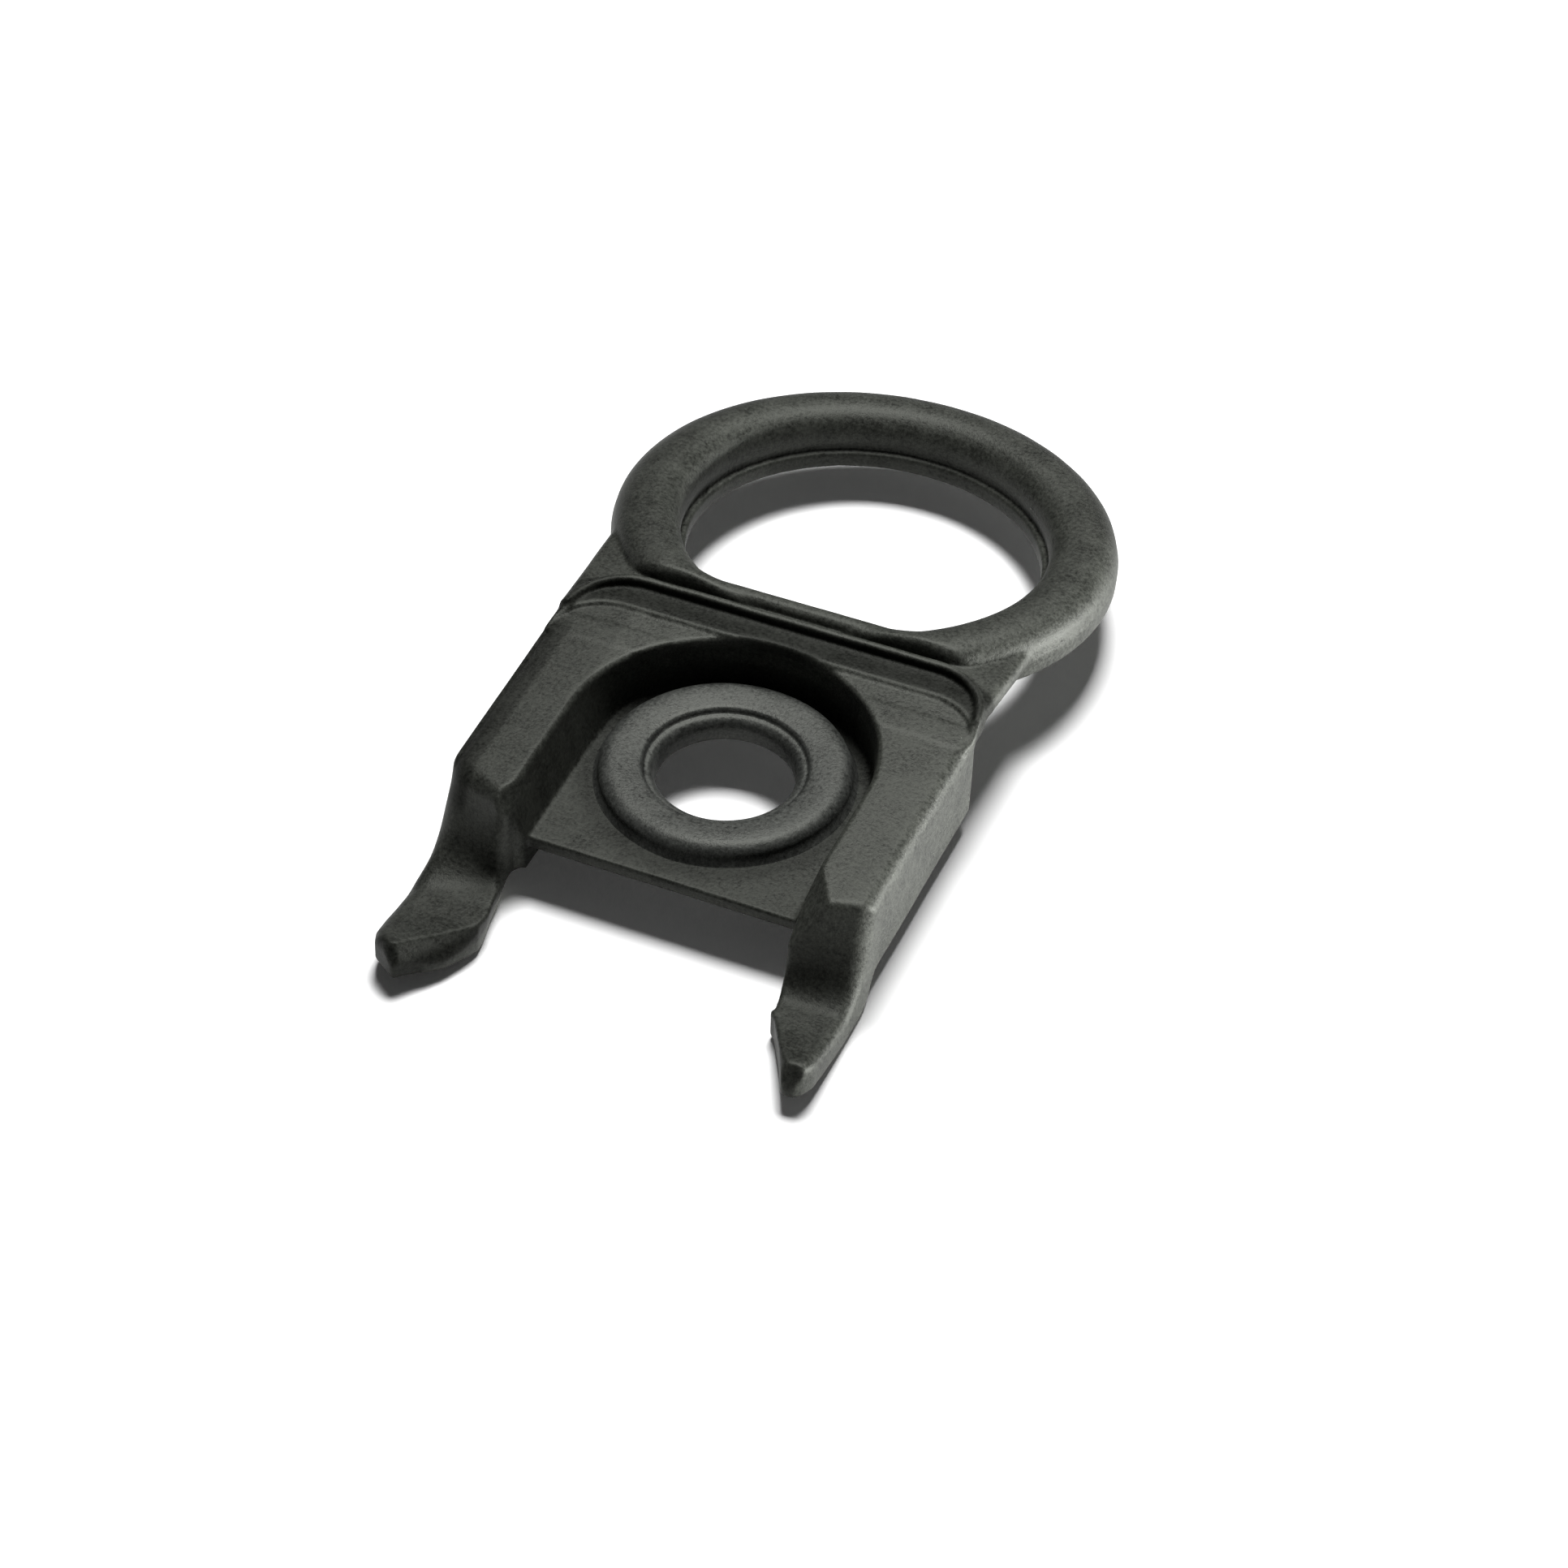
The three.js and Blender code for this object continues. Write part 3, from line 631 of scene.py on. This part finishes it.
def moulded_rubber(name, colour, roughness, shine=1.0):
    """Matt black polymer: fine grain, slow mottling, paler worn edges, painted shade in the hollows and
    painted shade on set patches.
    """
    material = bpy.data.materials.new(name)
    material.use_nodes = True
    nodes, links = material.node_tree.nodes, material.node_tree.links
    shader = nodes["Principled BSDF"]
    place = nodes.new("ShaderNodeTexCoord")

    def noise(scale, detail, rough=0.55):
        node = nodes.new("ShaderNodeTexNoise")
        node.inputs["Scale"].default_value = scale
        node.inputs["Detail"].default_value = detail
        node.inputs["Roughness"].default_value = rough
        links.new(place.outputs["Object"], node.inputs["Vector"])
        return node.outputs["Fac"]

    def layer(key):
        node = nodes.new("ShaderNodeAttribute")
        node.attribute_name = key
        return node.outputs["Fac"]

    def spread(value, low, high, out_low, out_high):
        node = nodes.new("ShaderNodeMapRange")
        for key, number in (("From Min", low), ("From Max", high), ("To Min", out_low), ("To Max", out_high)):
            node.inputs[key].default_value = number
        links.new(value, node.inputs["Value"])
        return node.outputs["Result"]

    def either_way(value, amount):
        return spread(value, NOISE_LOW, NOISE_HIGH, -amount, amount)

    def maths(operation, a, b):
        node = nodes.new("ShaderNodeMath")
        node.operation = operation
        for socket, value in zip(node.inputs, (a, b)):
            if isinstance(value, (int, float)):
                socket.default_value = value
            else:
                links.new(value, socket)
        return node.outputs["Value"]

    grain, pores, mottle = noise(GRAIN_SCALE, 3, 0.7), noise(PORE_SCALE, 2, 0.6), noise(MOTTLE_SCALE, 4)
    edge = layer("convex")
    worn = spread(edge, 0.0, 0.12, 0.0, WORN_TONE)
    # painted shade: concave hollows get a darker colour
    hollow = spread(edge, -0.1, -0.01, HOLLOW_SHADE_TONE, 0.0)
    tone = maths("ADD", either_way(grain, GRAIN_TONE), either_way(mottle, MOTTLE_TONE))
    tone = maths("ADD", tone, either_way(pores, PORE_TONE))
    tone = maths("ADD", maths("ADD", tone, worn), maths("ADD", hollow, 1.0))
    # painted shade: the marked patches get a darker colour and a weaker reflection
    tone = maths("MULTIPLY", tone, spread(layer("painted_shade"), 0.0, 1.0, 1.0, PAINTED_SHADE_TONE))
    paint = nodes.new("ShaderNodeVectorMath")
    paint.operation = "SCALE"
    paint.inputs[0].default_value = colour
    links.new(tone, paint.inputs["Scale"])
    links.new(paint.outputs["Vector"], shader.inputs["Base Color"])
    rough = maths("ADD", either_way(grain, GRAIN_ROUGHNESS), either_way(mottle, MOTTLE_ROUGHNESS))
    links.new(maths("ADD", rough, roughness), shader.inputs["Roughness"])
    links.new(maths("MULTIPLY", tone, SPECULAR * shine), shader.inputs["Specular IOR Level"])
    shader.inputs["Specular Tint"].default_value = SPECULAR_TINT
    bump = nodes.new("ShaderNodeBump")
    bump.inputs["Strength"].default_value = BUMP_STRENGTH
    bump.inputs["Distance"].default_value = BUMP_DISTANCE
    links.new(maths("ADD", grain, maths("MULTIPLY", pores, 0.5)), bump.inputs["Height"])
    links.new(bump.outputs["Normal"], shader.inputs["Normal"])
    return material


def plain_stage(name, colour, roughness):
    """One even colour, for what the object stands on."""
    material = bpy.data.materials.new(name)
    material.use_nodes = True
    shader = material.node_tree.nodes["Principled BSDF"]
    shader.inputs["Base Color"].default_value = (*colour, 1)
    shader.inputs["Roughness"].default_value = roughness
    return material


# ---------------------------------------------------------------- the object
rubber = moulded_rubber("matt_black_rubber", RUBBER, RUBBER_ROUGHNESS)
boss_rubber = moulded_rubber("boss_black_rubber", BOSS_RUBBER, BOSS_ROUGHNESS, BOSS_SHINE)
flash_rubber = moulded_rubber("flash_black_rubber", FLASH_RUBBER, FLASH_ROUGHNESS)

whole = mesh_object("whole", *moulding_mesh())
whole.data.materials.append(rubber)

FRONT, REAR, LEFT, RIGHT = (0, -1, 0), (0, 1, 0), (-1, 0, 0), (1, 0, 0)
loop_seam, leg_seam = (0, LOOP_SEAM_Y, 0), (0, LEG_SEAM_Y, 0)
left_wall, right_wall = (-LEG_WALL_X, 0, 0), (LEG_WALL_X, 0, 0)
plate = cut_copy(whole, "plate_moulding", [(loop_seam, REAR), (leg_seam, FRONT)])
loop_piece = cut_copy(whole, "loop_moulding", [(loop_seam, FRONT)])
left_leg = cut_copy(whole, "left_leg_moulding", [(leg_seam, REAR), (left_wall, RIGHT)])
right_leg = cut_copy(whole, "right_leg_moulding", [(leg_seam, REAR), (right_wall, LEFT)])
floor_edge = cut_copy(
    whole, "floor_edge_moulding", [(leg_seam, REAR), (left_wall, LEFT), (right_wall, RIGHT)])
bpy.data.objects.remove(whole)

boss = mesh_object("screw_boss_moulding", *boss_mesh())
boss.data.materials.append(boss_rubber)

flashes = (
    mesh_object("right_inner_flash", *flash_mesh(reach=-0.2, seed=3, start=-22, stop=48)),
    mesh_object("left_inner_flash", *flash_mesh(reach=-0.14, seed=5, start=150, stop=200)),
)
for flash in flashes:
    flash.data.materials.append(flash_rubber)

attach(plate, "plate")
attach(floor_edge, "plate")
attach(boss, "plate")
for bending in (loop_piece, *flashes):
    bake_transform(bending)
for leg, side in ((left_leg, "left"), (right_leg, "right")):
    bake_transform(leg)
    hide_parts(*(f"{side}_leg_{part}" for part in ("bend", "shank", "tip")))
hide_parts("loop_ring", "loop_bar")
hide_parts("screw_boss", "boss_lip")
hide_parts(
    "neck_web", "groove_strip", "rim_bead", "head_ledge", "pocket_wall", "pocket_floor",
    "left_rail_deck", "right_rail_deck", "left_side_block", "right_side_block")

# ---------------------------------------------------------------- floor, light and camera, in metres
FLOOR_Z = -1.62 * MM
FLOOR_REACH = 3
FLOOR_COLOUR = (0.9, 0.9, 0.9)
FLOOR_ROUGHNESS = 0.9
SKY_STRENGTH = 0.04
REAR_LIGHT = dict(place=(-0.025, 0.17, 0.471), aim=(0, 0.01, 0), width=0.18, height=0.18, watts=4.2)
# The low light is level with the plate, so that the right rail shades the left wall of the pocket.
LOW_LIGHT = dict(place=(0.58, 0.17, 0.003), aim=(0, 0.01, 0.003), width=0.3, height=0.014, watts=15.0)
CAMERA_PLACE = (0.1129, -0.2748, 0.2742)
ACROSS, UP, BACK = (0.9225, 0.3853, 0.0229), (-0.2756, 0.6158, 0.7382), (0.2703, -0.6872, 0.6743)
SENSOR_WIDTH, FOCAL_LENGTH = 36, 121.1
NEAREST, FARTHEST = 0.01, 10

corners = [(x * FLOOR_REACH, y * FLOOR_REACH, FLOOR_Z) for x, y in ((-1, -1), (1, -1), (1, 1), (-1, 1))]
floor_mesh = bpy.data.meshes.new("floor")
floor_mesh.from_pydata(corners, [], [(0, 1, 2, 3)])
floor_mesh.materials.append(plain_stage("pale_floor", FLOOR_COLOUR, FLOOR_ROUGHNESS))
floor = bpy.data.objects.new("floor", floor_mesh)
bpy.context.scene.collection.objects.link(floor)

world = bpy.data.worlds.new("studio")
world.use_nodes = True
world.node_tree.nodes["Background"].inputs["Color"].default_value = (1, 1, 1, 1)
world.node_tree.nodes["Background"].inputs["Strength"].default_value = SKY_STRENGTH
bpy.context.scene.world = world


def area_light(name, place, aim, width, height, watts):
    """A rectangular light that faces the point it aims at."""
    data = bpy.data.lights.new(name, "AREA")
    data.shape = "RECTANGLE"
    data.size, data.size_y = width, height
    data.energy = watts
    lamp = bpy.data.objects.new(name, data)
    lamp.location = place
    lamp.rotation_euler = (Vector(aim) - Vector(place)).to_track_quat("-Z", "Y").to_euler()
    bpy.context.scene.collection.objects.link(lamp)


area_light("rear_above", **REAR_LIGHT)
area_light("low_right", **LOW_LIGHT)

lens = bpy.data.cameras.new("photo_view")
lens.sensor_width = SENSOR_WIDTH
lens.lens = FOCAL_LENGTH
lens.clip_start, lens.clip_end = NEAREST, FARTHEST
camera = bpy.data.objects.new("photo_view", lens)
turn = Matrix((ACROSS, UP, BACK)).transposed().to_4x4()
camera.matrix_world = Matrix.Translation(Vector(CAMERA_PLACE)) @ turn
bpy.context.scene.collection.objects.link(camera)
bpy.context.scene.camera = camera
bpy.context.scene.view_settings.view_transform = "Standard"
